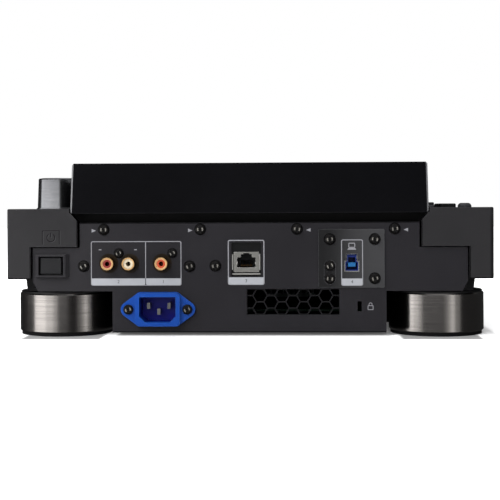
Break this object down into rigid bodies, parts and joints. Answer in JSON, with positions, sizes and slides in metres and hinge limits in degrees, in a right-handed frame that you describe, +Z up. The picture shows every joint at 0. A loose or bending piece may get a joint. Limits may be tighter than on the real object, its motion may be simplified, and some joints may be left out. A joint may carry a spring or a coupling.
{
  "type": "tabletop dj media player",
  "caption": "Tabletop DJ player with a tilted screen, a jog wheel, cue pads, transport keys, a tempo fader, turned feet and a rear panel of sockets.",
  "frame": {"origin": "middle of the footprint, on the surface that the feet stand on", "axes": "+Z up; +Y towards the rear panel, -Y towards the user; +X to the user's right"},
  "size_m": [0.329, 0.453, 0.118],
  "materials": {
    "case": "fine-grained satin dark grey moulding",
    "display_case": "satin near-black moulding",
    "screen": "gloss black touch glass",
    "panel": "dark grey fine-texture paint",
    "plate": "slightly lighter grey fine-texture paint",
    "tray": "satin black paint",
    "grille": "satin dark grey paint",
    "foot_metal": "turned and brushed, dark anodised",
    "foot_core": "satin black",
    "foot_rubber": "matt",
    "black_screw": "blackened",
    "connector_black": "satin",
    "gold": "gold plated",
    "insulator": "satin, one in red, one in white and one in orange",
    "inlet_blue": "satin blue",
    "contact": "plated",
    "shield": "tin plated",
    "port_blue": "bright blue",
    "jog_metal": "spun, black anodised",
    "jog_rim": "satin black with a fine metallic edge",
    "jog_hub": "plain moulding",
    "die_cast": "as cast",
    "key": "translucent dark key tops",
    "transport_key": "satin with a bright ring",
    "knob_metal": "spun and polished",
    "knob": "satin black",
    "steel": "ground",
    "board": "solder-masked circuit board"
  },
  "bodies": {
    "chassis": {"top_case": "case", "display_housing": "display_case", "display_glass": "screen", "jog_display": "screen", "rear_panel": "panel", "power_guard": "panel", "connector_plate": "plate", "base_tray": "tray", "vent_grille": "grille", "foot_sleeves": "foot_metal", "foot_cores": "foot_core", "foot_pads": "foot_rubber", "panel_screws": "black_screw", "base_screws": "black_screw", "jack_bodies": "connector_black", "lan_surround": "connector_black", "power_switch": "connector_black", "media_port": "connector_black", "rotary_controls": "connector_black", "jack_barrels": "gold", "jack_insulators": "insulator", "ac_inlet": "inlet_blue", "ac_inlet_pins": "contact", "lan_socket": "shield", "usb_b_shield": "shield", "usb_b_tongue": "port_blue", "jog_base": "die_cast", "lever_bracket": "steel", "fader_frame": "steel", "main_board": "board", "key_boards": "board", "power_supply": "board"},
    "jog_wheel": {"jog_hub": "jog_hub", "jog_platter": "jog_metal", "jog_rim": "jog_rim"},
    "tempo_fader": {"fader_carriage": "knob", "fader_cap": "knob"},
    "selector_push": {"selector_shaft": "steel"},
    "selector_turn": {"selector_knob": "knob_metal"},
    "vinyl_speed_knob": {"vinyl_speed_knob": "knob"},
    "jog_adjust_knob": {"jog_adjust_knob": "knob"},
    "direction_lever": {"direction_lever": "knob"},
    "power_button": {"power_button": "knob"},
    "hot_cue_1": {"hot_cue_1": "key"},
    "hot_cue_2": {"hot_cue_2": "key"},
    "hot_cue_3": {"hot_cue_3": "key"},
    "hot_cue_4": {"hot_cue_4": "key"},
    "hot_cue_5": {"hot_cue_5": "key"},
    "hot_cue_6": {"hot_cue_6": "key"},
    "hot_cue_7": {"hot_cue_7": "key"},
    "hot_cue_8": {"hot_cue_8": "key"},
    "cue_button": {"cue_button": "transport_key"},
    "play_button": {"play_button": "transport_key"},
    "track_back_button": {"track_back_button": "key"},
    "track_forward_button": {"track_forward_button": "key"},
    "loop_in_button": {"loop_in_button": "key"},
    "loop_out_button": {"loop_out_button": "key"},
    "sync_button": {"sync_button": "key"},
    "master_button": {"master_button": "key"},
    "stop_button": {"stop_button": "key"}
  },
  "joints": [
    {"name": "jog_spin", "type": "hinge", "parent": "chassis", "child": "jog_wheel", "pos_m": [0, -0.08, 0.09], "axis": [0, 0, 1], "continuous": true},
    {"name": "tempo_slide", "type": "slide", "parent": "chassis", "child": "tempo_fader", "axis": [0, -1, 0], "range_m": [-0.05, 0.05]},
    {"name": "selector_press", "type": "slide", "parent": "chassis", "child": "selector_push", "axis": [0, 0, -1], "range_m": [0, 0.0005], "stiffness_N_per_m": 900, "springref_m": -0.001},
    {"name": "selector_spin", "type": "hinge", "parent": "selector_push", "child": "selector_turn", "pos_m": [0.1435, 0.1488, 0.1], "axis": [0, 0, 1], "continuous": true},
    {"name": "vinyl_speed_turn", "type": "hinge", "parent": "chassis", "child": "vinyl_speed_knob", "pos_m": [0.125, 0.024, 0.09], "axis": [0, 0, -1], "range_deg": [-135, 135]},
    {"name": "jog_adjust_turn", "type": "hinge", "parent": "chassis", "child": "jog_adjust_knob", "pos_m": [0.147, 0.024, 0.09], "axis": [0, 0, -1], "range_deg": [-135, 135]},
    {"name": "direction_tilt", "type": "hinge", "parent": "chassis", "child": "direction_lever", "pos_m": [-0.1548, -0.06, 0.078], "axis": [1, 0, 0], "range_deg": [-12, 12]},
    {"name": "power_button_press", "type": "slide", "parent": "chassis", "child": "power_button", "axis": [0, -1, 0], "range_m": [0, 0.0018], "stiffness_N_per_m": 300, "springref_m": -0.001},
    {"name": "hot_cue_1_press", "type": "slide", "parent": "chassis", "child": "hot_cue_1", "axis": [0, 0, -1], "range_m": [0, 0.001], "stiffness_N_per_m": 300, "springref_m": -0.001},
    {"name": "hot_cue_2_press", "type": "slide", "parent": "chassis", "child": "hot_cue_2", "axis": [0, 0, -1], "range_m": [0, 0.001], "stiffness_N_per_m": 300, "springref_m": -0.001},
    {"name": "hot_cue_3_press", "type": "slide", "parent": "chassis", "child": "hot_cue_3", "axis": [0, 0, -1], "range_m": [0, 0.001], "stiffness_N_per_m": 300, "springref_m": -0.001},
    {"name": "hot_cue_4_press", "type": "slide", "parent": "chassis", "child": "hot_cue_4", "axis": [0, 0, -1], "range_m": [0, 0.001], "stiffness_N_per_m": 300, "springref_m": -0.001},
    {"name": "hot_cue_5_press", "type": "slide", "parent": "chassis", "child": "hot_cue_5", "axis": [0, 0, -1], "range_m": [0, 0.001], "stiffness_N_per_m": 300, "springref_m": -0.001},
    {"name": "hot_cue_6_press", "type": "slide", "parent": "chassis", "child": "hot_cue_6", "axis": [0, 0, -1], "range_m": [0, 0.001], "stiffness_N_per_m": 300, "springref_m": -0.001},
    {"name": "hot_cue_7_press", "type": "slide", "parent": "chassis", "child": "hot_cue_7", "axis": [0, 0, -1], "range_m": [0, 0.001], "stiffness_N_per_m": 300, "springref_m": -0.001},
    {"name": "hot_cue_8_press", "type": "slide", "parent": "chassis", "child": "hot_cue_8", "axis": [0, 0, -1], "range_m": [0, 0.001], "stiffness_N_per_m": 300, "springref_m": -0.001},
    {"name": "cue_button_press", "type": "slide", "parent": "chassis", "child": "cue_button", "axis": [0, 0, -1], "range_m": [0, 0.001], "stiffness_N_per_m": 300, "springref_m": -0.001},
    {"name": "play_button_press", "type": "slide", "parent": "chassis", "child": "play_button", "axis": [0, 0, -1], "range_m": [0, 0.001], "stiffness_N_per_m": 300, "springref_m": -0.001},
    {"name": "track_back_button_press", "type": "slide", "parent": "chassis", "child": "track_back_button", "axis": [0, 0, -1], "range_m": [0, 0.001], "stiffness_N_per_m": 300, "springref_m": -0.001},
    {"name": "track_forward_button_press", "type": "slide", "parent": "chassis", "child": "track_forward_button", "axis": [0, 0, -1], "range_m": [0, 0.001], "stiffness_N_per_m": 300, "springref_m": -0.001},
    {"name": "loop_in_button_press", "type": "slide", "parent": "chassis", "child": "loop_in_button", "axis": [0, 0, -1], "range_m": [0, 0.001], "stiffness_N_per_m": 300, "springref_m": -0.001},
    {"name": "loop_out_button_press", "type": "slide", "parent": "chassis", "child": "loop_out_button", "axis": [0, 0, -1], "range_m": [0, 0.001], "stiffness_N_per_m": 300, "springref_m": -0.001},
    {"name": "sync_button_press", "type": "slide", "parent": "chassis", "child": "sync_button", "axis": [0, 0, -1], "range_m": [0, 0.001], "stiffness_N_per_m": 300, "springref_m": -0.001},
    {"name": "master_button_press", "type": "slide", "parent": "chassis", "child": "master_button", "axis": [0, 0, -1], "range_m": [0, 0.001], "stiffness_N_per_m": 300, "springref_m": -0.001},
    {"name": "stop_button_press", "type": "slide", "parent": "chassis", "child": "stop_button", "axis": [0, 0, -1], "range_m": [0, 0.001], "stiffness_N_per_m": 300, "springref_m": -0.001}
  ]
}
